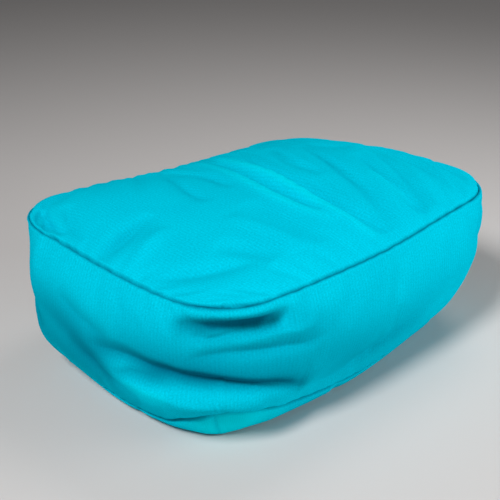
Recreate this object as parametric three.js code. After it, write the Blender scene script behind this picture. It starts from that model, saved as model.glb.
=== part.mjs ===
// Positioning cushion: a filled cloth block that lies on its base panel.
// A top panel and a base panel are sewn to one side band, and the filling bulges all three.
// Millimetres, +Z up. X is the long way, and the origin is on the floor under the middle.
import * as THREE from "three";

// Cut size of the top and base panels
const panelLength = 400;
const panelWidth = 300;
const cornerRadius = 62;

// Cut height of the side band, from seam to seam
const bandHeight = 150;

// Filling under the top panel
const crownHeight = 15;
const crownFlatness = 2.6;
const crownFullness = 0.8;

// Mesh: columns along the long and short sides, rows down the band and round the base edge.
// Columns crowd towards the near corner, where the deepest folds are.
const longColumns = 42;
const shortColumns = 34;
const crowding = 1.3;
const bandRows = 24;
const rollRows = 3;
const rollRoundness = 1.4;

// Cloth near a seam is held by it, so folds and swells fade out over this distance
const seamHold = 11;

// Lengths of the outline's stretches
const longStraight = panelLength - 2 * cornerRadius;
const shortStraight = panelWidth - 2 * cornerRadius;
const cornerArc = (Math.PI / 2) * cornerRadius;
const girth = 2 * longStraight + 2 * shortStraight + 4 * cornerArc;

// Places on the outline, in mm from the near corner and counter-clockwise seen from above
const nearCorner = 0;
const frontMiddle = cornerArc / 2 + longStraight / 2;
const rightCorner = cornerArc + longStraight;
const rightMiddle = rightCorner + cornerArc / 2 + shortStraight / 2;
const backCorner = rightCorner + cornerArc + shortStraight;
const backMiddle = backCorner + cornerArc / 2 + longStraight / 2;
const leftCorner = backCorner + cornerArc + longStraight;
const leftMiddle = leftCorner + cornerArc / 2 + shortStraight / 2;

// Upright sections round the cushion. Each gives the heights of the two seams, and how far
// the seams and the cloth between them stand out from the cut outline. Shoulder, belly and
// heel lie down the band, and rest is where the base panel meets the floor.
const sections = [
  { at: nearCorner, seamZ: 146, seam: -8, shoulder: -4, belly: -2, heel: -8, base: -29, baseZ: 38, rest: -48 },
  { at: nearCorner + 45, seamZ: 147, seam: -5, shoulder: 1, belly: 2, heel: -4, base: -23, baseZ: 31, rest: -47 },
  { at: nearCorner + 80, seamZ: 147, seam: -1, shoulder: 7, belly: 8, heel: 0, base: -18, baseZ: 21, rest: -38 },
  { at: frontMiddle, seamZ: 147, seam: 4, shoulder: 12, belly: 12, heel: 0, base: -20, baseZ: 11, rest: -30 },
  { at: rightCorner - 70, seamZ: 152, seam: 1, shoulder: 10, belly: 11, heel: -6, base: -31, baseZ: 11, rest: -39 },
  { at: rightCorner, seamZ: 152, seam: 0, shoulder: 3, belly: -3, heel: -22, base: -40, baseZ: 12, rest: -46 },
  { at: rightCorner + 70, seamZ: 153, seam: 2, shoulder: 10, belly: 6, heel: -12, base: -36, baseZ: 10, rest: -46 },
  { at: rightMiddle, seamZ: 151, seam: 2, shoulder: 10, belly: 8, heel: -8, base: -30, baseZ: 10, rest: -42 },
  { at: backCorner, seamZ: 137, seam: -6, shoulder: 0, belly: -2, heel: -16, base: -36, baseZ: 12, rest: -46 },
  { at: backCorner + 85, seamZ: 134, seam: 1, shoulder: 9, belly: 7, heel: -8, base: -28, baseZ: 10, rest: -42 },
  { at: backMiddle, seamZ: 140, seam: 2, shoulder: 10, belly: 8, heel: -8, base: -28, baseZ: 10, rest: -42 },
  { at: leftCorner - 80, seamZ: 149, seam: 4, shoulder: 9, belly: 6, heel: -6, base: -24, baseZ: 10, rest: -36 },
  { at: leftCorner, seamZ: 152, seam: -3, shoulder: -6, belly: -4, heel: -10, base: -28, baseZ: 14, rest: -40 },
  { at: leftCorner + 55, seamZ: 150, seam: -8, shoulder: 3, belly: 5, heel: -1, base: -23, baseZ: 12, rest: -36 },
  { at: leftMiddle, seamZ: 148, seam: -4, shoulder: 6, belly: 8, heel: 3, base: -15, baseZ: 11, rest: -27 },
  { at: girth - 75, seamZ: 147, seam: -4, shoulder: 5, belly: 7, heel: 0, base: -17, baseZ: 15, rest: -35 },
  { at: girth - 45, seamZ: 147, seam: -6, shoulder: 1, belly: 3, heel: -3, base: -20, baseZ: 28, rest: -46 },
];

// Where shoulder, belly and heel lie, as shares of the way down the band
const profileShares = { seam: 0, shoulder: 0.18, belly: 0.45, heel: 0.78, base: 1 };

// Soft swells (high above 0) and hollows (below 0) of the top panel
const swells = [
  { x: 95, y: 35, high: 4, long: 70, wide: 110, turn: 20 },
  { x: -130, y: 90, high: 4, long: 60, wide: 50, turn: 0 },
  { x: 0, y: 110, high: -4, long: 60, wide: 40, turn: -20 },
];

// Folds of the band. Each runs through its points, given as mm along the outline and mm down
// from the top seam. High is the ridge's height, below 0 a trough, and wide its half width.
const bandFolds = [
  // Round the near corner
  { through: [[-45, 11], [-7, 14], [16, 15], [50, 14], [78, 18]], high: -10, wide: 8 },
  { through: [[-60, 32], [0, 38], [60, 36]], high: 2.5, wide: 14 },
  { through: [[-22, 48], [5, 56], [53, 58], [115, 62]], high: -3, wide: 8 },
  { through: [[-160, 76], [-92, 67], [-35, 76], [9, 90], [65, 106], [88, 118]], high: -10, wide: 7 },
  { through: [[-130, 88], [-80, 90], [-20, 98], [30, 112], [70, 124]], high: 5, wide: 11 },
  { through: [[-100, 86], [-70, 75], [-40, 81]], high: -3, wide: 5 },
  { through: [[-160, 97], [-134, 104], [-95, 117], [-66, 119]], high: -5, wide: 7 },
  // Left corner and the back of it
  { through: [[-275, 34], [-240, 46], [-215, 66], [-196, 80]], high: -5, wide: 9 },
  { through: [[-330, 60], [-285, 92], [-240, 108]], high: -5, wide: 9 },
  { through: [[-400, 24], [-350, 38], [-300, 30]], high: -4, wide: 10 },
  // Front side, low down
  { through: [[86, 124], [133, 131], [173, 121], [216, 106], [257, 93], [310, 88]], high: -5, wide: 8 },
  { through: [[330, 30], [352, 60], [350, 96]], high: -3, wide: 9 },
  // Right side and back corner
  { through: [[400, 96], [450, 78], [505, 84], [560, 104]], high: -6, wide: 8 },
  { through: [[560, 26], [600, 17], [640, 18], [690, 28]], high: -7, wide: 8 },
  { through: [[570, 92], [630, 72], [700, 80]], high: -6, wide: 8 },
  // Back side
  { through: [[720, 112], [790, 92], [870, 84]], high: -6, wide: 9 },
  { through: [[770, 30], [830, 44], [890, 42]], high: -3, wide: 9 },
];

// Folds of the top panel, through points in X and Y
const topFolds = [
  // The long diagonal fold and its neighbours, from the back seam to the front seam
  { through: [[52, 122], [24, 20], [16, -30], [8, -95], [13, -132]], high: 4, wide: 8 },
  { through: [[80, 80], [50, 10], [36, -50], [24, -100], [18, -132]], high: -5, wide: 10 },
  { through: [[42, 136], [-3, 14], [-10, -60], [-15, -132]], high: -3, wide: 6 },
  { through: [[-8, 138], [-8, 74], [-20, 18]], high: -3, wide: 7 },
  { through: [[-16, 128], [-50, 50], [-63, 8]], high: -3, wide: 7 },
  { through: [[-71, -30], [-67, -84], [-69, -116]], high: 2.5, wide: 9 },
  // Right lobe
  { through: [[110, 20], [73, -49], [38, -125]], high: -3, wide: 7 },
  { through: [[118, -50], [100, -90], [79, -128]], high: -3.5, wide: 6 },
  { through: [[100, 76], [74, 24], [70, -15]], high: -2.5, wide: 8 },
  { through: [[150, -60], [120, -95], [90, -138]], high: -2, wide: 6 },
  // Left end
  { through: [[-192, 5], [-160, 12], [-124, 22]], high: -5, wide: 8 },
  { through: [[-192, -28], [-160, -18], [-130, -8]], high: 3, wide: 8 },
  { through: [[-188, -55], [-156, -82], [-120, -102]], high: -3.5, wide: 8 },
  { through: [[-170, 122], [-180, 96], [-182, 70]], high: -4, wide: 6 },
  { through: [[-183, 45], [-168, 80], [-150, 104]], high: -3, wide: 7 },
];

// Point and outward normal of the cut outline at a place along it
function outlineAt(along) {
  const corners = [
    { x: -1, y: -1, angle: Math.PI, straight: longStraight },
    { x: 1, y: -1, angle: 1.5 * Math.PI, straight: shortStraight },
    { x: 1, y: 1, angle: 0, straight: longStraight },
    { x: -1, y: 1, angle: 0.5 * Math.PI, straight: shortStraight },
  ];
  let left = THREE.MathUtils.euclideanModulo(along + cornerArc / 2, girth);
  for (const corner of corners) {
    const centre = new THREE.Vector2(
      corner.x * (panelLength / 2 - cornerRadius),
      corner.y * (panelWidth / 2 - cornerRadius),
    );
    const turned = corner.angle + Math.min(left, cornerArc) / cornerRadius;
    const normal = new THREE.Vector2(Math.cos(turned), Math.sin(turned));
    const point = centre.addScaledVector(normal, cornerRadius);
    if (left <= cornerArc) return { point, normal };
    left -= cornerArc;
    if (left <= corner.straight) {
      point.addScaledVector(new THREE.Vector2(-normal.y, normal.x), left);
      return { point, normal };
    }
    left -= corner.straight;
  }
  return outlineAt(0);
}

// Cubic between two values, with a slope at each end
function ease(before, after, slopeBefore, slopeAfter, span, share) {
  const square = share * share;
  const cube = square * share;
  return (
    (2 * cube - 3 * square + 1) * before +
    (cube - 2 * square + share) * span * slopeBefore +
    (3 * square - 2 * cube) * after +
    (cube - square) * span * slopeAfter
  );
}

// One column of the sections table at a place along the outline
function sectionValue(name, along) {
  const count = sections.length;
  const place = THREE.MathUtils.euclideanModulo(along, girth);
  let first = sections.findLastIndex((section) => section.at <= place);
  if (first < 0) first = count - 1;
  const entry = (step) => {
    const index = first + step;
    const turns = Math.floor(index / count);
    const section = sections[index - turns * count];
    return { at: section.at + turns * girth, value: section[name] };
  };
  const [before, here, next, after] = [entry(-1), entry(0), entry(1), entry(2)];
  const span = next.at - here.at;
  const slopeHere = (next.value - before.value) / (next.at - before.at);
  const slopeNext = (after.value - here.value) / (after.at - here.at);
  return ease(here.value, next.value, slopeHere, slopeNext, span, (place - here.at) / span);
}

// Everything that a column of the mesh needs to know about its place on the outline
function columnAt(along) {
  const { point, normal } = outlineAt(along);
  const column = { along, point, normal };
  for (const name of Object.keys(sections[0])) {
    if (name !== "at") column[name] = sectionValue(name, along);
  }
  return column;
}

// A point that stands out from the outline by a distance, at a height
function standOut(column, out, z) {
  const { point, normal } = column;
  return new THREE.Vector3(point.x + normal.x * out, point.y + normal.y * out, z);
}

// A point of the band, at a share of the way from the top seam to the base seam
function bandPoint(column, share) {
  const names = Object.keys(profileShares);
  const at = (index) => profileShares[names[index]];
  const last = names.length - 1;
  let index = 0;
  while (index < last - 1 && share >= at(index + 1)) index += 1;
  const slope = (middle) => {
    const low = Math.max(middle - 1, 0);
    const high = Math.min(middle + 1, last);
    return (column[names[high]] - column[names[low]]) / (at(high) - at(low));
  };
  const span = at(index + 1) - at(index);
  const out = ease(
    column[names[index]],
    column[names[index + 1]],
    slope(index),
    slope(index + 1),
    span,
    (share - at(index)) / span,
  );
  return standOut(column, out, column.seamZ + (column.baseZ - column.seamZ) * share);
}

// A point of the base panel's rounded edge, from the base seam (0) down to the floor (1)
function rollPoint(column, share) {
  const turn = (share * Math.PI) / 2;
  const inward = share === 1 ? 1 : 1 - Math.cos(turn) ** rollRoundness;
  const drop = share === 1 ? 1 : Math.sin(turn) ** rollRoundness;
  const out = column.base + (column.rest - column.base) * inward;
  return standOut(column, out, column.baseZ * (1 - drop));
}

// Height of the top panel over its seams. U and V run from -1 to 1 across the panel.
function crown(x, y, u, v) {
  const along = 1 - Math.abs(u) ** crownFlatness;
  const across = 1 - Math.abs(v) ** crownFlatness;
  let z = crownHeight * Math.max(along * across, 0) ** crownFullness;
  const inside = THREE.MathUtils.clamp((1 - Math.abs(u)) * (1 - Math.abs(v)) * 6, 0, 1);
  for (const swell of swells) {
    const away = new THREE.Vector2(x - swell.x, y - swell.y);
    away.rotateAround(new THREE.Vector2(), -THREE.MathUtils.degToRad(swell.turn));
    z += inside * swell.high * Math.exp(-((away.x / swell.long) ** 2) - (away.y / swell.wide) ** 2);
  }
  return z;
}

// A fold's centre line as short steps
function foldLine(fold) {
  const spline = new THREE.SplineCurve(fold.through.map(([x, y]) => new THREE.Vector2(x, y)));
  return { ...fold, points: spline.getPoints(8 * (fold.through.length - 1)) };
}

// How far the folds raise or sink the cloth at a place of a panel
function foldHeight(folds, x, y) {
  let height = 0;
  for (const fold of folds) {
    const last = fold.points.length - 1;
    let nearest = Infinity;
    let share = 0;
    for (let i = 0; i < last; i += 1) {
      const from = fold.points[i];
      const step = fold.points[i + 1].clone().sub(from);
      const away = new THREE.Vector2(x, y).sub(from);
      const t = THREE.MathUtils.clamp(away.dot(step) / step.lengthSq(), 0, 1);
      const distance = away.addScaledVector(step, -t).length();
      if (distance < nearest) {
        nearest = distance;
        share = (i + t) / last;
      }
    }
    const fade = Math.sin(Math.PI * THREE.MathUtils.clamp(share, 0.02, 0.98)) ** 0.6;
    height += fold.high * fade * Math.exp(-((nearest / fold.wide) ** 2));
  }
  return height;
}

// The mesh's columns round the cushion: long side, short side, long side, short side
function makeColumns() {
  const crowded = (share) => share ** crowding;
  const even = (share) => share;
  const crowdedLast = (share) => 1 - (1 - share) ** crowding;
  const sides = [
    { from: nearCorner, to: rightCorner, count: longColumns, spread: crowded },
    { from: rightCorner, to: backCorner, count: shortColumns, spread: even },
    { from: backCorner, to: leftCorner, count: longColumns, spread: even },
    { from: leftCorner, to: girth, count: shortColumns, spread: crowdedLast },
  ];
  return sides.flatMap(({ from, to, count, spread }) =>
    Array.from({ length: count }, (_, i) => columnAt(from + (to - from) * spread(i / count))),
  );
}

// The closed surface: points, what each is part of, and faces that point outwards
function makeSurface() {
  const columns = makeColumns();
  const count = columns.length;
  const points = [];
  const places = [];
  const faces = [];
  const add = (point, place) => points.push(point) && places.push(place) - 1;
  const quad = (a, b, c, d) => faces.push(a, b, c, a, c, d);

  // Band from the top seam down, then the base panel's rounded edge down to the floor
  for (let row = 0; row <= bandRows; row += 1) {
    const share = row / bandRows;
    const down = share * bandHeight;
    for (const column of columns) add(bandPoint(column, share), { panel: "band", along: column.along, down });
  }
  for (let row = 1; row <= rollRows; row += 1) {
    for (const column of columns) add(rollPoint(column, row / rollRows), { panel: "base" });
  }
  for (let row = 0; row < bandRows + rollRows; row += 1) {
    for (let i = 0; i < count; i += 1) {
      const next = (i + 1) % count;
      const above = row * count;
      const below = above + count;
      quad(above + i, below + i, below + next, above + next);
    }
  }

  // Top panel: its rim is the band's first row, and its inside is spanned from the rim
  const rim = (i, j) => {
    if (j === 0) return i;
    if (i === longColumns) return longColumns + j;
    if (j === shortColumns) return 2 * longColumns + shortColumns - i;
    return (2 * longColumns + 2 * shortColumns - j) % count;
  };
  const topIndex = new Map();
  for (let j = 0; j <= shortColumns; j += 1) {
    for (let i = 0; i <= longColumns; i += 1) {
      const onRim = i === 0 || j === 0 || i === longColumns || j === shortColumns;
      topIndex.set(`${i},${j}`, onRim ? rim(i, j) : add(topPoint(points, rim, i, j), topPlace(i, j)));
    }
  }
  for (let j = 0; j < shortColumns; j += 1) {
    for (let i = 0; i < longColumns; i += 1) {
      const corners = [[i, j], [i + 1, j], [i + 1, j + 1], [i, j + 1]];
      quad(...corners.map(([a, b]) => topIndex.get(`${a},${b}`)));
    }
  }

  // Flat of the base panel, which rests on the floor
  const lastRow = (bandRows + rollRows) * count;
  const middle = add(new THREE.Vector3(0, 0, 0), { panel: "base" });
  for (let i = 0; i < count; i += 1) faces.push(middle, lastRow + ((i + 1) % count), lastRow + i);
  return { points, places, faces };
}

// A point inside the top panel, spanned between its four rims, with the crown on it
function topPoint(points, rim, i, j) {
  const s = i / longColumns;
  const t = j / shortColumns;
  const point = new THREE.Vector3();
  const take = (weight, column, row) => point.addScaledVector(points[rim(column, row)], weight);
  take(1 - t, i, 0);
  take(t, i, shortColumns);
  take(1 - s, 0, j);
  take(s, longColumns, j);
  take(-(1 - s) * (1 - t), 0, 0);
  take(-s * (1 - t), longColumns, 0);
  take(-(1 - s) * t, 0, shortColumns);
  take(-s * t, longColumns, shortColumns);
  point.z += crown(point.x, point.y, 2 * s - 1, 2 * t - 1);
  return point;
}

// Distance of a grid point from the top seam, roughly, in mm
function topPlace(i, j) {
  const across = Math.min(i, longColumns - i) * (panelLength / longColumns);
  const deep = Math.min(j, shortColumns - j) * (panelWidth / shortColumns);
  return { panel: "top", hem: Math.min(across, deep) };
}

// The folds move the cloth along its own normal, less and less towards a seam
function foldSurface(geometry, places) {
  const band = bandFolds.map(foldLine);
  const top = topFolds.map(foldLine);
  const position = geometry.getAttribute("position");
  const normal = geometry.getAttribute("normal");
  const point = new THREE.Vector3();
  const push = new THREE.Vector3();
  places.forEach((place, index) => {
    point.fromBufferAttribute(position, index);
    let height = 0;
    if (place.panel === "band") {
      const along = place.along > girth * 0.75 ? place.along - girth : place.along;
      const hold = Math.min(place.down, bandHeight - place.down) / seamHold;
      height = foldHeight(band, along, place.down) * Math.min(hold, 1);
    } else if (place.panel === "top") {
      height = foldHeight(top, point.x, point.y) * Math.min(place.hem / seamHold, 1);
    }
    push.fromBufferAttribute(normal, index).multiplyScalar(height);
    position.setXYZ(index, point.x + push.x, point.y + push.y, point.z + push.z);
  });
}

function makeCushion() {
  const { points, places, faces } = makeSurface();
  const geometry = new THREE.BufferGeometry().setFromPoints(points);
  geometry.setIndex(faces);
  geometry.computeVertexNormals();
  foldSurface(geometry, places);
  geometry.computeBoundingBox();
  const middle = geometry.boundingBox.getCenter(new THREE.Vector3());
  geometry.translate(-middle.x, -middle.y, 0);
  geometry.computeVertexNormals();
  const cloth = new THREE.MeshStandardMaterial({ color: 0x06b8d6, roughness: 0.62, metalness: 0 });
  const mesh = new THREE.Mesh(geometry, cloth);
  mesh.name = "cushion";
  return mesh;
}

const cushion = new THREE.Group();
cushion.add(makeCushion());

export default cushion;
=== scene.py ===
import math
import bpy
import numpy as np
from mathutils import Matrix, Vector


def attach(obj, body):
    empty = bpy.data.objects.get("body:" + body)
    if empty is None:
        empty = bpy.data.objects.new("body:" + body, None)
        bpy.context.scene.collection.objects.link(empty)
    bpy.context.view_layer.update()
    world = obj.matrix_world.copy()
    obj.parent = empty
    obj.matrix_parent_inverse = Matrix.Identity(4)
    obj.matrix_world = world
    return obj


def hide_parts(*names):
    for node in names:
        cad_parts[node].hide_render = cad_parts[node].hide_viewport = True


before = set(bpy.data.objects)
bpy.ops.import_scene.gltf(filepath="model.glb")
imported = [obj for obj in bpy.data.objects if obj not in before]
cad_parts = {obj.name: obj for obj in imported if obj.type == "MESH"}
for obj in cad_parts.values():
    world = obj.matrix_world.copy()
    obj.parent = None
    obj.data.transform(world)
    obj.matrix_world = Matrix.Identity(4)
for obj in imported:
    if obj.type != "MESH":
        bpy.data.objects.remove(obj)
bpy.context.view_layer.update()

mm = 0.001  # the tables below are in millimetres, Blender is in metres

# The cover as it is cut: two rounded panels and one side band
cover = {
    "length": 400,
    "width": 300,
    "cornerRadius": 62,
    "bandHeight": 150,
    "crown": 15,          # height of the filling under the top panel
    "crownFlatness": 2.6,
    "crownFullness": 0.8,
    "rollRoundness": 1.4,
}
longStraight = cover["length"] - 2 * cover["cornerRadius"]
shortStraight = cover["width"] - 2 * cover["cornerRadius"]
cornerArc = math.pi / 2 * cover["cornerRadius"]
girth = 2 * (longStraight + shortStraight) + 4 * cornerArc

# Places along the outline, counter-clockwise seen from above
nearCorner = 0
frontMiddle = (cornerArc + longStraight) / 2
rightCorner = cornerArc + longStraight
rightMiddle = rightCorner + (cornerArc + shortStraight) / 2
backCorner = rightCorner + cornerArc + shortStraight
backMiddle = backCorner + (cornerArc + longStraight) / 2
leftCorner = backCorner + cornerArc + longStraight
leftMiddle = leftCorner + (cornerArc + shortStraight) / 2

# How far the cloth stands out from the outline, section by section, and where the seams lie
sectionNames = ("at", "seamZ", "seam", "shoulder", "belly", "heel", "base", "baseZ", "rest")
sections = [
    (nearCorner,       147, -8, -5, -7,  -9, -27, 38, -50),
    (nearCorner + 45,  147, -5, -1, -2,  -4, -22, 36, -52),
    (nearCorner + 80,  147, -1,  7,  8,   0, -18, 26, -42),
    (frontMiddle,      147,  4, 12, 12,   0, -20, 11, -30),
    (rightCorner - 70, 152,  1, 10, 11,  -6, -31, 11, -39),
    (rightCorner,      152,  0,  3, -3, -22, -40, 12, -46),
    (rightCorner + 70, 153,  2, 10,  6, -12, -36, 10, -46),
    (rightMiddle,      151,  2, 10,  8,  -8, -30, 10, -42),
    (backCorner,       137, -6,  0, -2, -16, -36, 12, -46),
    (backCorner + 85,  134,  1,  9,  7,  -8, -28, 10, -42),
    (backMiddle,       140,  2, 10,  8,  -8, -28, 10, -42),
    (leftCorner - 80,  149,  4,  9,  6,  -6, -24, 10, -36),
    (leftCorner,       152, -3, -6, -4, -10, -28, 14, -40),
    (leftCorner + 55,  150, -8,  3,  5,  -1, -23, 12, -36),
    (leftMiddle,       148, -4,  6,  8,   3, -15, 11, -27),
    (girth - 75,       147, -4,  5,  7,   0, -17, 15, -35),
    (girth - 45,       147, -6,  1,  3,  -3, -20, 28, -46),
]
profileShares = {"seam": 0, "shoulder": 0.18, "belly": 0.45, "heel": 0.78, "base": 1}

# Soft swells and hollows of the top: x, y, high, long, wide, turned by degrees
swells = [
    (95, 35, 4, 70, 110, 20),
    (-130, 90, 4, 60, 50, 0),
    (0, 110, -4, 60, 40, -20),
]

# Folds of the band. Points are mm along the outline and mm down from the top seam. high is
# the ridge's height, under 0 a trough. left and right are its half widths on either hand.
# drop is how far the cloth sags over what lies below it, shade how much painted shade darkens the
# cloth down in the fold, or under 0 how much painted highlight lightens it along the fold's top.
bandFolds = [
    # round the near corner, with painted shade in its troughs, creases and a broad patch, and a painted
    # highlight low down
    dict(through=[(-38, 22), (0, 24), (25, 25), (46, 24), (66, 22)],
         high=-14, left=10, right=24, sharp=2),
    dict(through=[(-48, 9), (-7, 10), (20, 10), (50, 9), (80, 8)], high=3, left=9, right=9, sharp=2),
    dict(through=[(-46, 19), (-8, 21), (18, 22), (42, 22), (58, 21)],
         shade=1.2, left=9, right=13, sharp=2),
    dict(through=[(-110, 46), (-30, 52), (30, 60), (90, 74), (170, 92), (260, 96)],
         shade=0.26, left=30, right=38, sharp=2),
    dict(through=[(50, 24), (84, 34), (120, 40)], shade=0.16, left=14, right=20, sharp=2),
    dict(through=[(-26, 32), (-10, 42), (8, 40), (24, 34)], high=-3, left=5, right=6, shade=0.12),
    dict(through=[(10, 50), (45, 42), (90, 38)], high=4, left=9, right=9),
    dict(through=[(-30, 62), (5, 62), (53, 61), (105, 56)], high=-5, left=10, right=7, shade=0.12),
    dict(through=[(-150, 80), (-92, 76), (-35, 88), (9, 102), (65, 113), (88, 122)],
         high=-7, left=34, right=10),
    dict(through=[(-145, 82), (-92, 78), (-35, 91), (9, 105), (65, 116), (88, 124)],
         high=-7, left=9, right=6),
    dict(through=[(-140, 80), (-92, 76), (-35, 89), (9, 102), (65, 113), (96, 126)],
         shade=0.85, left=11, right=8, sharp=2),
    dict(through=[(-150, 72), (-92, 64), (-35, 76), (9, 90), (65, 104), (100, 122)],
         shade=0.45, left=20, right=11, sharp=2),
    dict(through=[(-130, 66), (-92, 60), (-35, 73), (9, 87), (65, 102), (84, 112)],
         high=2, left=9, right=8, drop=1),
    dict(through=[(-140, 98), (-80, 101), (-20, 121), (30, 133), (80, 139)], high=7, left=14, right=26),
    dict(through=[(-112, 98), (-92, 89), (-68, 90), (-44, 97)], high=-4, left=5, right=6, shade=0.4),
    dict(through=[(-178, 90), (-150, 97), (-120, 108), (-84, 116)],
         high=-3, left=10, right=10, shade=0.3),
    dict(through=[(-122, 108), (-88, 102), (-45, 107)], shade=-0.4, left=6, right=14, sharp=2),
    # left corner and the back of it, with painted shade in a fold and over the lower part of the band
    dict(through=[(-290, 64), (-260, 71), (-238, 84), (-222, 104)],
         high=-5, left=10, right=9, shade=0.3),
    dict(through=[(-300, 92), (-215, 106), (-150, 118), (-60, 134)],
         shade=0.55, left=36, right=28, sharp=2),
    dict(through=[(-240, 60), (-190, 70), (-150, 84), (-110, 100)],
         shade=0.42, left=26, right=14, sharp=2),
    dict(through=[(-190, 44), (-158, 58), (-120, 66)], high=-3, left=12, right=9, shade=0.1),
    dict(through=[(-330, 60), (-285, 92), (-240, 108)], high=-3, left=11, right=11),
    dict(through=[(-400, 24), (-350, 38), (-300, 30)], high=-4, left=10, right=10),
    # front side, low down, with painted shade over its low hollow
    dict(through=[(86, 124), (133, 131), (173, 121), (216, 106), (257, 93), (310, 88)],
         high=-5, left=12, right=7),
    dict(through=[(90, 118), (140, 112), (200, 112), (280, 108)],
         high=-3, shade=0.25, left=24, right=24),
    dict(through=[(330, 30), (352, 60), (350, 96)], high=-3, left=9, right=9),
    # right side and back corner
    dict(through=[(400, 96), (450, 78), (505, 84), (560, 104)], high=-6, left=10, right=6),
    dict(through=[(560, 26), (600, 17), (640, 18), (690, 28)], high=-7, left=7, right=9),
    dict(through=[(570, 92), (630, 72), (700, 80)], high=-6, left=10, right=6),
    # back side
    dict(through=[(720, 112), (790, 92), (870, 84)], high=-6, left=11, right=7),
    dict(through=[(770, 30), (830, 44), (890, 42)], high=-3, left=9, right=9),
]

# Creases of the base panel's edge, mm along the outline and mm past the base seam
rollFolds = [
    # a painted highlight along the base panel's edge round the near corner
    dict(through=[(-70, 14), (0, 14), (90, 10)], shade=-0.75, left=20, right=20, sharp=2),
    # painted shade in this crease
    dict(through=[(-17, -8), (-12, 8), (-9, 26)], high=-2, left=3, right=6, shade=0.2),
    dict(through=[(-120, -4), (-112, 12), (-108, 30)], high=-2, left=5, right=5),
    dict(through=[(150, -4), (156, 12), (158, 30)], high=-2, left=6, right=5),
    dict(through=[(372, -4), (380, 12), (384, 30)], high=-2.5, left=5, right=5),
]

# Folds of the top panel, through points in X and Y; shade is painted shade in the valleys, under 0 a
# painted highlight along a ridge
topFolds = [
    # the long diagonal fold and its neighbours, from the back seam to the front seam
    dict(through=[(53, 120), (33, 51), (24, 4), (13, -40), (7, -80), (9, -134)],
         high=8, left=8, right=5, sharp=1.5),
    dict(through=[(52, 124), (32, 51), (23, 4), (12, -40), (6, -80), (8, -140)],
         shade=-0.4, left=5, right=4, sharp=2),
    dict(through=[(76, 110), (46, 30), (31, -40), (21, -88), (20, -138)],
         high=-10, left=7, right=16, shade=0.12),
    dict(through=[(36, 132), (11, 58), (-2, 11), (-11, -30), (-12, -64), (-6, -100)],
         high=5, left=6, right=5, sharp=1.5),
    dict(through=[(36, 134), (10, 58), (-3, 11), (-12, -30), (-13, -64), (-7, -104)],
         shade=-0.3, left=5, right=4, sharp=2),
    dict(through=[(50, 136), (23, 60), (9, 10), (0, -40), (-1, -80)],
         high=-5, left=6, right=9, shade=0.1),
    dict(through=[(-8, 138), (-8, 74), (-20, 18)], high=-5, left=8, right=5, shade=0.06),
    dict(through=[(-16, 128), (-50, 50), (-63, 8)], high=-5, left=9, right=6, shade=0.06),
    dict(through=[(-71, -30), (-67, -84), (-69, -116)], high=4, left=10, right=9, sharp=2),
    dict(through=[(-40, -20), (-38, -70), (-42, -118)], high=-3, left=14, right=12, shade=0.04),
    # right lobe
    dict(through=[(128, 60), (92, -20), (66, -80), (40, -128)], high=-6, left=10, right=5, shade=0.1),
    dict(through=[(134, -8), (108, -62), (89, -104), (78, -138)], high=-6, left=5, right=9, shade=0.1),
    dict(through=[(106, -50), (97, -84), (82, -124)], high=3, left=6, right=3, sharp=1.2, shade=-0.3),
    dict(through=[(100, 80), (74, 24), (68, -25)], high=-5, left=9, right=6, shade=0.06),
    dict(through=[(170, 12), (140, -50), (113, -95), (94, -136)], high=-5, left=6, right=9, shade=0.07),
    dict(through=[(172, 0), (160, -70), (136, -136)], high=-4, left=8, right=6, shade=0.05),
    dict(through=[(150, 110), (140, 60), (150, 10)], high=-4, left=10, right=8, shade=0.04),
    dict(through=[(186, -60), (181, -95), (170, -122)], high=-3, left=5, right=5, shade=0.05),
    # left end
    dict(through=[(-193, 4), (-160, 12), (-118, 24)], high=-7, left=9, right=8, shade=0.12),
    dict(through=[(-193, -28), (-160, -18), (-126, -6)], high=4, left=8, right=9, sharp=2),
    dict(through=[(-190, -55), (-156, -84), (-112, -104)], high=-5, left=10, right=8, shade=0.07),
    dict(through=[(-166, 126), (-180, 96), (-182, 66)], high=-6, left=6, right=5, shade=0.15),
    dict(through=[(-184, 42), (-168, 80), (-150, 106)], high=-4, left=7, right=6, shade=0.06),
    dict(through=[(-120, -62), (-106, -88), (-100, -112)],
         high=-4, left=12, right=12, sharp=2, shade=0.05),
]

net = {
    "cells": 64,          # cells along each edge of the net before the last subdivision
    "crowding": 0.15,     # how much the net's lines crowd towards the seams
    "nearer": 0.2,        # how much they crowd towards the near corner
    "rollShare": 0.125,   # share of the rows that go round the base edge
    "rollLength": 30,     # mm of cloth that goes round it
    "seamHold": 11,       # mm from a seam over which folds fade out
    "seamDeep": 2.6,      # mm that the stitches draw a seam in
    "seamWide": 1.8,
    "gap": 0.7,           # how much wider and deeper the seam gapes round the near corner
    "baseGap": 1.4,       # the base seam's width and depth beside the top seam's
}


# shape of the cover

def outlineAt(along):
    # point and outward normal of the cut outline at each place along it
    left = np.mod(along + cornerArc / 2, girth)
    radius = cover["cornerRadius"]
    point = np.zeros((len(along), 2))
    normal = np.zeros((len(along), 2))
    corners = [
        (-1, -1, math.pi, longStraight),
        (1, -1, 1.5 * math.pi, shortStraight),
        (1, 1, 0.0, longStraight),
        (-1, 1, 0.5 * math.pi, shortStraight),
    ]
    start = 0
    for signX, signY, angle, straight in corners:
        here = (left >= start) & (left < start + cornerArc + straight)
        gone = left[here] - start
        turned = angle + np.minimum(gone, cornerArc) / radius
        past = np.maximum(gone - cornerArc, 0)
        facing = np.stack([np.cos(turned), np.sin(turned)], 1)
        centre = np.array([signX * longStraight, signY * shortStraight]) / 2
        ahead = np.stack([-facing[:, 1], facing[:, 0]], 1)
        point[here] = centre + facing * radius + ahead * past[:, None]
        normal[here] = facing
        start += cornerArc + straight
    return point, normal


def ease(before, after, slopeBefore, slopeAfter, span, share):
    square, cube = share ** 2, share ** 3
    return ((2 * cube - 3 * square + 1) * before + (cube - 2 * square + share) * span * slopeBefore
            + (3 * square - 2 * cube) * after + (cube - square) * span * slopeAfter)


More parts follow.
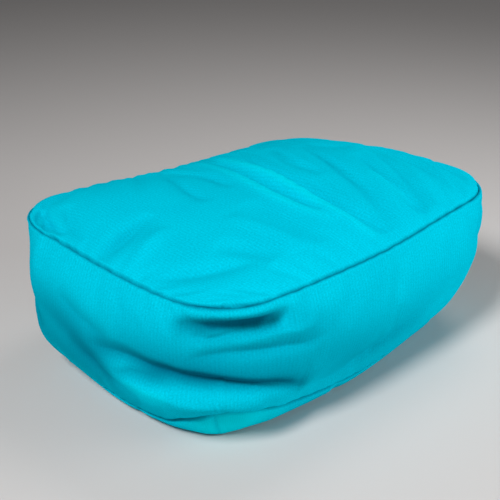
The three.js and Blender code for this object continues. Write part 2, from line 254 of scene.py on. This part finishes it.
def sectionValue(name, along):
    column = sectionNames.index(name)
    at = np.array([row[0] for row in sections], float)
    value = np.array([row[column] for row in sections], float)
    at = np.concatenate([at[-2:] - girth, at, at[:2] + girth])
    value = np.concatenate([value[-2:], value, value[:2]])
    place = np.mod(along, girth)
    first = np.clip(np.searchsorted(at, place, side="right") - 1, 1, len(at) - 3)
    slope = (value[2:] - value[:-2]) / (at[2:] - at[:-2])  # slope[i - 1] belongs to knot i
    span = at[first + 1] - at[first]
    share = (place - at[first]) / span
    return ease(value[first], value[first + 1], slope[first - 1], slope[first], span, share)


def standOut(along, out, z):
    point, normal = outlineAt(along)
    return np.concatenate([point + normal * out[:, None], z[:, None]], 1)


def bandPoint(along, share):
    names = list(profileShares)
    knots = np.array([profileShares[name] for name in names], float)
    out = np.stack([sectionValue(name, along) for name in names], 1)
    first = np.clip(np.searchsorted(knots, share, side="right") - 1, 0, len(knots) - 2)
    rows = np.arange(len(along))

    def slope(knot):
        low, high = np.maximum(knot - 1, 0), np.minimum(knot + 1, len(knots) - 1)
        return (out[rows, high] - out[rows, low]) / (knots[high] - knots[low])

    span = knots[first + 1] - knots[first]
    reach = ease(out[rows, first], out[rows, first + 1], slope(first), slope(first + 1), span,
                 (share - knots[first]) / span)
    seamZ, baseZ = sectionValue("seamZ", along), sectionValue("baseZ", along)
    return standOut(along, reach, seamZ + (baseZ - seamZ) * share)


def rollPoint(along, share):
    # the base panel's rounded edge, from the base seam (0) down to the floor (1)
    turn = share * math.pi / 2
    base, rest, baseZ = (sectionValue(name, along) for name in ("base", "rest", "baseZ"))
    inward = 1 - np.clip(np.cos(turn), 0, 1) ** cover["rollRoundness"]
    drop = np.clip(np.sin(turn), 0, 1) ** cover["rollRoundness"]
    return standOut(along, base + (rest - base) * inward, baseZ * (1 - drop))


def span4(rim, u, v):
    # a panel spanned between its four rims; rim(u, v) gives points on them
    s, t = (u[:, None] + 1) / 2, (v[:, None] + 1) / 2
    low, high = np.full_like(u, -1), np.full_like(u, 1)
    made = (1 - t) * rim(u, low) + t * rim(u, high) + (1 - s) * rim(low, v) + s * rim(high, v)
    made -= (1 - s) * (1 - t) * rim(low, low) + s * (1 - t) * rim(high, low)
    made -= (1 - s) * t * rim(low, high) + s * t * rim(high, high)
    # towards the net's own corners the lines follow the rounded rim instead
    ring = np.maximum(np.maximum(abs(u), abs(v)), 1e-3)
    rounded = rim(u / ring, v / ring) * ring[:, None]
    share = (np.clip(abs(u * v) * 1.3 - 0.3, 0, 1) ** 2)[:, None]
    made[:, :2] += (rounded[:, :2] - made[:, :2]) * share
    return made


def crownHeight(x, y, u, v):
    rise = np.maximum((1 - abs(u) ** cover["crownFlatness"]) * (1 - abs(v) ** cover["crownFlatness"]), 0)
    z = cover["crown"] * rise ** cover["crownFullness"]
    inside = np.clip((1 - abs(u)) * (1 - abs(v)) * 6, 0, 1)
    for atX, atY, high, long, wide, turned in swells:
        cos, sin = math.cos(math.radians(turned)), math.sin(math.radians(turned))
        p = ((x - atX) * cos + (y - atY) * sin) / long
        q = (-(x - atX) * sin + (y - atY) * cos) / wide
        z += inside * high * np.exp(-p ** 2 - q ** 2)
    return z


def alongSides(u, v):
    # place on the outline as each of the net's four sides counts it: front, right, back, left
    return [
        nearCorner + (u + 1) / 2 * (rightCorner - nearCorner),
        rightCorner + (v + 1) / 2 * (backCorner - rightCorner),
        backCorner + (1 - u) / 2 * (leftCorner - backCorner),
        leftCorner + (1 - v) / 2 * (girth - leftCorner),
    ]


def alongOf(u, v):
    # place on the outline of a point on the net's side faces
    edge = 1 - 1e-5
    return np.select([v <= -edge, u >= edge, v >= edge, u <= -edge], alongSides(u, v), 0.0)


def bandShareOf(w):
    # share of the way down the band; its rows crowd towards both seams
    share = np.clip((1 - w) / 2 / (1 - net["rollShare"]), 0, 1)
    return share - 2 * net["crowding"] * np.sin(2 * math.pi * share) / (2 * math.pi)


def pastSeamOf(w):
    # mm past the base seam, over the base panel's rounded edge
    return ((1 - w) / 2 / net["rollShare"] - (1 / net["rollShare"] - 1)) * net["rollLength"]


def hemOf(u, v):
    # mm from the nearest edge of a panel
    return np.minimum((1 - abs(u)) * cover["length"], (1 - abs(v)) * cover["width"]) / 2


def coverPoint(u, v, w):
    # where a point of the net, a cube from -1 to 1, lies on the filled cover, in mm
    edge = 1 - 1e-5
    made = np.zeros((len(u), 3))
    along = alongOf(u, v)
    down = (1 - w) / 2
    bandShare = 1 - net["rollShare"]
    side = (abs(u) > edge) | (abs(v) > edge)
    band = side & (down <= bandShare + 1e-6)
    roll = side & ~band
    made[band] = bandPoint(along[band], bandShareOf(w[band]))
    made[roll] = rollPoint(along[roll], np.clip((down[roll] - bandShare) / net["rollShare"], 0, 1))
    top = ~side & (w > edge)
    base = ~side & (w < -edge)
    seam = lambda a, b: bandPoint(alongOf(a, b), np.zeros_like(a))
    rest = lambda a, b: rollPoint(alongOf(a, b), np.ones_like(a))
    made[top] = span4(seam, u[top], v[top])
    made[top, 2] += crownHeight(made[top, 0], made[top, 1], u[top], v[top])
    made[base] = span4(rest, u[base], v[base])
    made[base, 2] = 0
    return made


# folds

def splinePoints(through, steps=10):
    # smooth line through a few points
    knots = np.array(through, float)
    padded = np.concatenate([[2 * knots[0] - knots[1]], knots, [2 * knots[-1] - knots[-2]]])
    line = []
    for a, b, c, d in zip(padded, padded[1:], padded[2:], padded[3:]):
        for t in np.linspace(0, 1, steps, endpoint=False):
            line.append(0.5 * (2 * b + (c - a) * t + (2 * a - 5 * b + 4 * c - d) * t ** 2
                               + (3 * b - a - 3 * c + d) * t ** 3))
    return np.array(line + [knots[-1]])


def foldHeight(folds, x, y, name="high"):
    place = np.stack([x, y], 1)
    height = np.zeros(len(place))
    for fold in folds:
        if not fold.get(name):
            continue
        line = splinePoints(fold["through"])
        reach = 3.2 * max(fold["left"], fold["right"])
        near = np.flatnonzero((place > line.min(0) - reach).all(1) & (place < line.max(0) + reach).all(1))
        if not len(near):
            continue
        best = np.full(len(near), 1e9)
        side = np.zeros(len(near))
        share = np.zeros(len(near))
        last = len(line) - 1
        for i in range(last):
            step = line[i + 1] - line[i]
            away = place[near] - line[i]
            t = np.clip(away @ step / (step @ step), 0, 1)
            gap = away - t[:, None] * step
            distance = np.hypot(gap[:, 0], gap[:, 1])
            closer = distance < best
            best[closer] = distance[closer]
            side[closer] = (step[0] * away[:, 1] - step[1] * away[:, 0])[closer]
            share[closer] = (i + t[closer]) / last
        wide = np.where(side < 0, fold["left"], fold["right"])
        fade = np.clip(np.sin(math.pi * share), 0, 1) ** 0.7
        sharp = fold.get("sharp", 1.5)
        height[near] += fold[name] * fade * np.exp(-(best / wide) ** sharp)
    return height


# the cushion

def readPoints(mesh):
    flat = np.empty(len(mesh.vertices) * 3, np.float64)
    mesh.vertices.foreach_get("co", flat)
    return flat.reshape(-1, 3)


def readNormals(mesh):
    flat = np.empty(len(mesh.vertices) * 3, np.float32)
    mesh.vertices.foreach_get("normal", flat)
    return flat.reshape(-1, 3).astype(float)


def writePoints(mesh, points):
    mesh.vertices.foreach_set("co", np.ascontiguousarray(points, np.float32).ravel())
    mesh.update()


def writeValues(mesh, name, values):
    layer = mesh.attributes.new(name, "FLOAT", "POINT")
    layer.data.foreach_set("value", values.astype(np.float32))


def readNet(mesh):
    flat = np.empty(len(mesh.vertices) * 3, np.float32)
    mesh.attributes["net"].data.foreach_get("vector", flat)
    return np.clip(flat.reshape(-1, 3).astype(float), -1, 1).T


def makeNet():
    # a cube cut into a fine net: its top, sides and bottom become the three cut pieces
    bpy.ops.object.select_all(action="DESELECT")
    bpy.ops.mesh.primitive_cube_add(size=2)
    cushion = bpy.context.object
    cushion.name = "cushionCover"
    cushion.data.name = "cushionCover"
    bpy.ops.object.mode_set(mode="EDIT")
    bpy.ops.mesh.select_all(action="SELECT")
    bpy.ops.mesh.subdivide(number_cuts=net["cells"] - 1)
    bpy.ops.object.mode_set(mode="OBJECT")
    mesh = cushion.data
    layer = mesh.attributes.new("net", "FLOAT_VECTOR", "POINT")
    flat = np.empty(len(mesh.vertices) * 3, np.float32)
    mesh.vertices.foreach_get("co", flat)
    flat = flat.reshape(-1, 3)
    flat[:, :2] -= net["nearer"] * (1 - flat[:, :2] ** 2)
    flat[:, :2] = flat[:, :2] * (1 + net["crowding"]) - net["crowding"] * flat[:, :2] ** 3
    layer.data.foreach_set("vector", flat.ravel())
    print("net", len(mesh.vertices), "points")
    return cushion


def finishNet(cushion):
    # halves the net's cells, so the folds and seams that follow have room
    smooth = cushion.modifiers.new("smooth", "SUBSURF")
    smooth.subdivision_type = "SIMPLE"
    smooth.levels = smooth.render_levels = 1
    bpy.context.view_layer.objects.active = cushion
    bpy.ops.object.modifier_apply(modifier=smooth.name)


def sewAndFold(cushion, shift):
    # folds and seams, moved along the cloth's own normal
    mesh = cushion.data
    u, v, w = readNet(mesh)
    edge = 1 - 1e-4
    side = (abs(u) > edge) | (abs(v) > edge)
    top = ~side & (w > edge)
    down = bandShareOf(w) * cover["bandHeight"]
    band = side & ((1 - w) / 2 <= 1 - net["rollShare"] + 1e-4)
    along = alongOf(u, v)
    along = np.where(along > 0.75 * girth, along - girth, along)
    points = readPoints(mesh)
    normals = readNormals(mesh)
    height = np.zeros(len(points))
    held = np.clip(np.minimum(down, cover["bandHeight"] - down) / net["seamHold"], 0, 1)
    height[band] = foldHeight(bandFolds, along[band], down[band]) * held[band]
    hem = hemOf(u, v)
    place = points / mm - shift
    height[top] = foldHeight(topFolds, place[top, 0], place[top, 1])
    height[top] *= np.clip(hem[top] / net["seamHold"], 0, 1)
    roll = side & ~band
    past = pastSeamOf(w)
    height[roll] = foldHeight(rollFolds, along[roll], past[roll])
    # painted shade in the folds and, under 0, painted highlight on their crests, kept as the shaded
    # attribute for the cloth's colour
    shade = np.zeros(len(points))
    shade[band] = foldHeight(bandFolds, along[band], down[band], "shade")
    shade[top] = foldHeight(topFolds, place[top, 0], place[top, 1], "shade")
    shade[roll] = foldHeight(rollFolds, along[roll], past[roll], "shade")
    # the right lobe is drawn into fine wrinkles, the rest far less
    lobe = np.clip((place[:, 0] + 30) / 60, 0, 1) * np.clip((200 - place[:, 0]) / 40, 0, 1)
    writeValues(mesh, "wrinkled", top * (0.2 + 0.8 * lobe) * np.clip(hem / 30, 0.3, 1))
    writeValues(mesh, "shaded", np.clip(shade, -0.8, 0.9))
    # stitches draw both seams in
    toSeam = np.where(top, hem, 1e3)
    toSeam[band] = np.minimum(down, cover["bandHeight"] - down)[band]
    toSeam[roll] = past[roll]
    gape = np.where(w > 0, 1 + net["gap"] * np.exp(-((along - 4) / 38) ** 4), net["baseGap"])
    sunk = np.exp(-(toSeam / net["seamWide"] / gape) ** 2)
    height -= net["seamDeep"] * gape * sunk
    writeValues(mesh, "stitched", sunk)
    points += normals * height[:, None] * mm
    points[band, 2] -= foldHeight(bandFolds, along[band], down[band], "drop") * held[band] * mm
    writePoints(mesh, points)


def layCutting(cushion):
    # UV in metres over the cut pieces: along and down on the band, X and Y on the panels
    mesh = cushion.data
    u, v, w = readNet(mesh)
    corners = np.empty(len(mesh.loops), np.int32)
    mesh.loops.foreach_get("vertex_index", corners)
    starts = np.empty(len(mesh.polygons), np.int32)
    mesh.polygons.foreach_get("loop_start", starts)
    totals = np.empty(len(mesh.polygons), np.int32)
    mesh.polygons.foreach_get("loop_total", totals)
    face = np.repeat(np.arange(len(starts)), totals)
    mid = np.stack([np.bincount(face, c[corners]) / totals for c in (u, v, w)], 1)
    edge = 1 - 1e-4
    kinds = [mid[:, 1] < -edge, mid[:, 0] > edge, mid[:, 1] > edge, mid[:, 0] < -edge]
    kind = np.select(kinds, [0, 1, 2, 3], 4)[face]
    cu, cv, cw = u[corners], v[corners], w[corners]
    across = np.choose(kind, alongSides(cu, cv) + [cu * cover["length"] / 2])
    down = bandShareOf(cw) * cover["bandHeight"] + np.maximum(pastSeamOf(cw), 0)
    upward = np.where(kind < 4, -down, cv * cover["width"] / 2 + 1000)
    layer = mesh.uv_layers.new(name="cutting")
    layer.data.foreach_set("uv", np.stack([across * mm, upward * mm], 1).astype(np.float32).ravel())


filling = {
    "pressure": 4.0,
    "frames": 20,
    "cap": 6.0,          # mm that the filling may move the cloth
    "bandShare": 0.45,   # share of that movement kept on the band
    "topShare": 0.9,
    "start": 1.0,        # mm that the cloth starts inside its final shape
    "fade": 25.0,        # mm from a seam over which that offset begins
}


def fillCushion(cushion):
    # blows the cover up a little with Blender's cloth
    mesh = cushion.data
    u, v, w = readNet(mesh)
    normals = readNormals(mesh)
    before = readPoints(mesh)
    held = cushion.vertex_groups.new(name="held")
    edge = 1 - 1e-4
    side = (abs(u) > edge) | (abs(v) > edge)
    down = (1 - w) / 2
    atSeam = side & ((down < 0.5 / net["cells"]) | (down > 1 - net["rollShare"] - 0.5 / net["cells"]))
    fixed = atSeam | (w < -edge)
    hem = hemOf(u, v)
    reach = np.where(side, np.minimum(bandShareOf(w), 1 - bandShareOf(w)) * cover["bandHeight"], hem)
    inside = filling["start"] * mm * np.clip(reach / filling["fade"], 0, 1)
    writePoints(mesh, before - normals * np.where(fixed, 0, inside)[:, None])
    begun = readPoints(mesh)
    for index in np.flatnonzero(fixed):
        held.add([int(index)], 1.0, "REPLACE")
    cloth = cushion.modifiers.new("filling", "CLOTH")
    settings = cloth.settings
    settings.quality = 6
    settings.mass = 0.25
    settings.tension_stiffness = 12
    settings.compression_stiffness = 12
    settings.shear_stiffness = 4
    settings.bending_stiffness = 0.8
    settings.use_pressure = True
    settings.uniform_pressure_force = filling["pressure"]
    settings.shrink_min = -0.015
    settings.effector_weights.gravity = 0
    settings.vertex_group_mass = "held"
    cloth.collision_settings.use_collision = False
    cloth.point_cache.frame_start = 1
    cloth.point_cache.frame_end = filling["frames"]
    scene = bpy.context.scene
    for number in range(1, filling["frames"] + 1):
        scene.frame_set(number)
    bpy.context.view_layer.objects.active = cushion
    bpy.ops.object.modifier_apply(modifier=cloth.name)
    scene.frame_set(1)
    moved = readPoints(mesh) - begun
    size = np.linalg.norm(moved, axis=1, keepdims=True) + 1e-12
    cap = filling["cap"] * mm
    moved *= cap * np.tanh(size / cap) / size
    moved *= np.where(side, filling["bandShare"], filling["topShare"])[:, None]
    writePoints(mesh, begun + moved)
    cushion.vertex_groups.clear()
    outward = ((begun + moved - before) * normals).sum(1)[~fixed] / mm
    print("filling moved the cloth by", outward.mean().round(2), "mm,",
          "from", outward.min().round(1), "to", outward.max().round(1))


clothLook = {
    "colour": (0.0, 0.56, 0.73),
    "dark": (0.0, 0.47, 0.64),
    "seam": (0.0, 0.17, 0.26),
    # the next two are the painted shade colour down in the folds and the painted highlight colour on
    # their crests
    "fold": (0.0, 0.08, 0.15),
    "paintedCrestHighlight": (0.0, 0.8, 0.9),
    "roughness": 0.55,
    "sheen": 0.2,
    "ribPitch": 3.7,     # mm between the faint ribs
    "ribs": 0.028,       # how far the ribs darken and lighten the colour
    "wrinkleTurn": -20,  # degrees from straight across the cushion
    "wrinkleScale": 7,
    "wrinkleStretch": 8,  # how many times longer than wide they are
    "wrinkles": 0.6,
    "grain": 0.13,
    "grainScale": 620,   # grains to the metre
}


def multiplied(nodes, links, colour, factor, depth):
    # the colour made darker and lighter by a texture that runs from 0 to 1
    level = nodes.new("ShaderNodeMapRange")
    level.inputs["From Min"].default_value = 0.3
    level.inputs["From Max"].default_value = 0.7
    level.inputs["To Min"].default_value = 1 - depth
    level.inputs["To Max"].default_value = 1 + depth
    mix = nodes.new("ShaderNodeMix")
    mix.data_type = "RGBA"
    mix.blend_type = "MULTIPLY"
    mix.inputs["Factor"].default_value = 1
    links.new(factor, level.inputs["Value"])
    links.new(colour, mix.inputs["A"])
    links.new(level.outputs["Result"], mix.inputs["B"])
    return mix


def makeCloth():
    material = bpy.data.materials.new("turquoiseCloth")
    material.use_nodes = True
    nodes = material.node_tree.nodes
    links = material.node_tree.links
    shader = nodes["Principled BSDF"]
    shader.inputs["Roughness"].default_value = clothLook["roughness"]
    shader.inputs["Specular IOR Level"].default_value = 0
    shader.inputs["Sheen Weight"].default_value = clothLook["sheen"]
    shader.inputs["Sheen Roughness"].default_value = 0.45
    shader.inputs["Sheen Tint"].default_value = (0.0, 0.75, 0.95, 1)

    where = nodes.new("ShaderNodeUVMap")
    where.uv_map = "cutting"
    patches = nodes.new("ShaderNodeTexNoise")
    patches.inputs["Scale"].default_value = 14
    patches.inputs["Detail"].default_value = 4
    links.new(where.outputs["UV"], patches.inputs["Vector"])
    tone = nodes.new("ShaderNodeMix")
    tone.data_type = "RGBA"
    tone.inputs["A"].default_value = (*clothLook["dark"], 1)
    tone.inputs["B"].default_value = (*clothLook["colour"], 1)
    links.new(patches.outputs["Fac"], tone.inputs["Factor"])
    # satin grain and faint ribs show in the colour too
    weave = nodes.new("ShaderNodeTexNoise")
    weave.inputs["Scale"].default_value = clothLook["grainScale"]
    weave.inputs["Detail"].default_value = 2
    links.new(where.outputs["UV"], weave.inputs["Vector"])
    warp = nodes.new("ShaderNodeTexWave")
    warp.bands_direction = "X"
    warp.inputs["Scale"].default_value = 1000 / clothLook["ribPitch"] * math.pi / 10
    warp.inputs["Distortion"].default_value = 0.6
    warp.inputs["Detail"].default_value = 1
    links.new(where.outputs["UV"], warp.inputs["Vector"])
    grained = multiplied(nodes, links, tone.outputs["Result"], weave.outputs["Fac"], clothLook["grain"])
    ribbed = multiplied(nodes, links, grained.outputs["Result"], warp.outputs["Fac"], clothLook["ribs"])

    # painted shade down in the folds, a painted highlight on their crests, and darkest at the sunk
    # stitching
    shaded = nodes.new("ShaderNodeAttribute")
    shaded.attribute_name = "shaded"
    paintedShadeMix = nodes.new("ShaderNodeMix")
    paintedShadeMix.data_type = "RGBA"
    paintedShadeMix.inputs["B"].default_value = (*clothLook["fold"], 1)
    links.new(shaded.outputs["Fac"], paintedShadeMix.inputs["Factor"])
    links.new(ribbed.outputs["Result"], paintedShadeMix.inputs["A"])
    lifted = nodes.new("ShaderNodeMath")
    lifted.operation = "MULTIPLY"
    lifted.inputs[1].default_value = -1
    links.new(shaded.outputs["Fac"], lifted.inputs[0])
    paintedCrestHighlight = nodes.new("ShaderNodeMix")
    paintedCrestHighlight.data_type = "RGBA"
    paintedCrestHighlight.inputs["B"].default_value = (*clothLook["paintedCrestHighlight"], 1)
    links.new(lifted.outputs["Value"], paintedCrestHighlight.inputs["Factor"])
    links.new(paintedShadeMix.outputs["Result"], paintedCrestHighlight.inputs["A"])
    stitched = nodes.new("ShaderNodeAttribute")
    stitched.attribute_name = "stitched"
    thread = nodes.new("ShaderNodeMix")
    thread.data_type = "RGBA"
    thread.inputs["B"].default_value = (*clothLook["seam"], 1)
    links.new(stitched.outputs["Fac"], thread.inputs["Factor"])
    links.new(paintedCrestHighlight.outputs["Result"], thread.inputs["A"])
    links.new(thread.outputs["Result"], shader.inputs["Base Color"])

    # small drawn wrinkles across the top, along the long folds
    turned = nodes.new("ShaderNodeMapping")
    turned.vector_type = "TEXTURE"
    turned.inputs["Rotation"].default_value = (0, 0, math.radians(clothLook["wrinkleTurn"]))
    wide = 1 / clothLook["wrinkleScale"]
    turned.inputs["Scale"].default_value = (wide / clothLook["wrinkleStretch"], wide, 1)
    links.new(where.outputs["UV"], turned.inputs["Vector"])
    drawn = nodes.new("ShaderNodeTexNoise")
    drawn.inputs["Scale"].default_value = 1
    drawn.inputs["Detail"].default_value = 2
    drawn.inputs["Distortion"].default_value = 0.3
    links.new(turned.outputs["Vector"], drawn.inputs["Vector"])
    wrinkled = nodes.new("ShaderNodeAttribute")
    wrinkled.attribute_name = "wrinkled"
    deepness = nodes.new("ShaderNodeMath")
    deepness.operation = "MULTIPLY"
    deepness.inputs[1].default_value = clothLook["wrinkles"]
    links.new(wrinkled.outputs["Fac"], deepness.inputs[0])
    wrinkles = nodes.new("ShaderNodeBump")
    wrinkles.inputs["Distance"].default_value = 0.01
    links.new(deepness.outputs["Value"], wrinkles.inputs["Strength"])
    links.new(drawn.outputs["Fac"], wrinkles.inputs["Height"])

    ribs = nodes.new("ShaderNodeBump")
    links.new(wrinkles.outputs["Normal"], ribs.inputs["Normal"])
    ribs.inputs["Strength"].default_value = 0.12
    ribs.inputs["Distance"].default_value = 0.0006
    links.new(warp.outputs["Fac"], ribs.inputs["Height"])
    grain = nodes.new("ShaderNodeBump")
    grain.inputs["Strength"].default_value = 0.25
    grain.inputs["Distance"].default_value = 0.0003
    links.new(weave.outputs["Fac"], grain.inputs["Height"])
    links.new(ribs.outputs["Normal"], grain.inputs["Normal"])
    links.new(grain.outputs["Normal"], shader.inputs["Normal"])
    return material


def makeCushion():
    cushion = makeNet()
    mesh = cushion.data
    points = coverPoint(*readNet(mesh))
    shift = np.append(-(points.min(0) + points.max(0))[:2] / 2, 0)
    writePoints(mesh, (points + shift) * mm)
    fillCushion(cushion)
    finishNet(cushion)
    sewAndFold(cushion, shift)
    layCutting(cushion)
    cushion.data.materials.append(makeCloth())
    bpy.ops.object.select_all(action="DESELECT")
    cushion.select_set(True)
    bpy.context.view_layer.objects.active = cushion
    bpy.ops.object.shade_smooth()
    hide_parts("cushion")
    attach(cushion, "root")
    print("cushion", len(cushion.data.polygons), "faces")
    return cushion


makeCushion()


# studio

studio = {
    "lens": 75,
    "elevation": 25.1,
    "azimuth": -45.9,
    "place": (-0.6788, -0.6419, 0.5347),
    "floor": 12.0,
}


def makeFloor():
    bpy.ops.object.select_all(action="DESELECT")
    bpy.ops.mesh.primitive_plane_add(size=studio["floor"])
    floor = bpy.context.object
    floor.name = "studioFloor"
    material = bpy.data.materials.new("paleFloor")
    material.use_nodes = True
    shader = material.node_tree.nodes["Principled BSDF"]
    shader.inputs["Base Color"].default_value = (0.6, 0.575, 0.565, 1)
    shader.inputs["Roughness"].default_value = 0.8
    shader.inputs["Specular IOR Level"].default_value = 0.2
    floor.data.materials.append(material)


def addLight(name, place, aim, size, power, spread=130):
    bpy.ops.object.select_all(action="DESELECT")
    bpy.ops.object.light_add(type="AREA", location=place)
    light = bpy.context.object
    light.name = name
    light.data.shape = "DISK"
    light.data.size = size
    light.data.energy = power
    light.data.spread = math.radians(spread)
    light.rotation_mode = "QUATERNION"
    light.rotation_quaternion = (Vector(aim) - Vector(place)).to_track_quat("-Z", "Y")


def makeLights():
    world = bpy.data.worlds.new("studio")
    bpy.context.scene.world = world
    world.use_nodes = True
    world.node_tree.nodes["Background"].inputs["Color"].default_value = (1, 1, 1, 1)
    world.node_tree.nodes["Background"].inputs["Strength"].default_value = 0.09
    addLight("key", (-1.75, -0.45, 2.0), (0, -0.1, 0.05), 0.7, 12, 80)
    addLight("front", (0.55, -1.15, 0.35), (-0.02, -0.15, 0.05), 0.5, 2.0)
    addLight("right", (0.9, -0.9, 0.35), (0.05, -0.15, 0.05), 0.5, 2.4)
    addLight("over", (0.6, 0.1, 1.15), (0.1, 0, 0.1), 0.5, 1.4)
    addLight("low", (-0.6, -0.95, 0.16), (-0.1, -0.1, 0), 0.3, 0.5)
    bpy.context.scene.view_settings.view_transform = "Standard"


def makeCamera():
    azimuth, elevation = math.radians(studio["azimuth"]), math.radians(studio["elevation"])
    back = Vector((math.sin(azimuth) * math.cos(elevation), -math.cos(azimuth) * math.cos(elevation),
                   math.sin(elevation)))
    bpy.ops.object.select_all(action="DESELECT")
    bpy.ops.object.camera_add(location=studio["place"])
    camera = bpy.context.object
    camera.data.lens = studio["lens"]
    camera.data.sensor_width = 36
    camera.rotation_mode = "QUATERNION"
    camera.rotation_quaternion = (-back).to_track_quat("-Z", "Y")
    bpy.context.scene.camera = camera


makeFloor()
makeLights()
makeCamera()
print("studio ready")
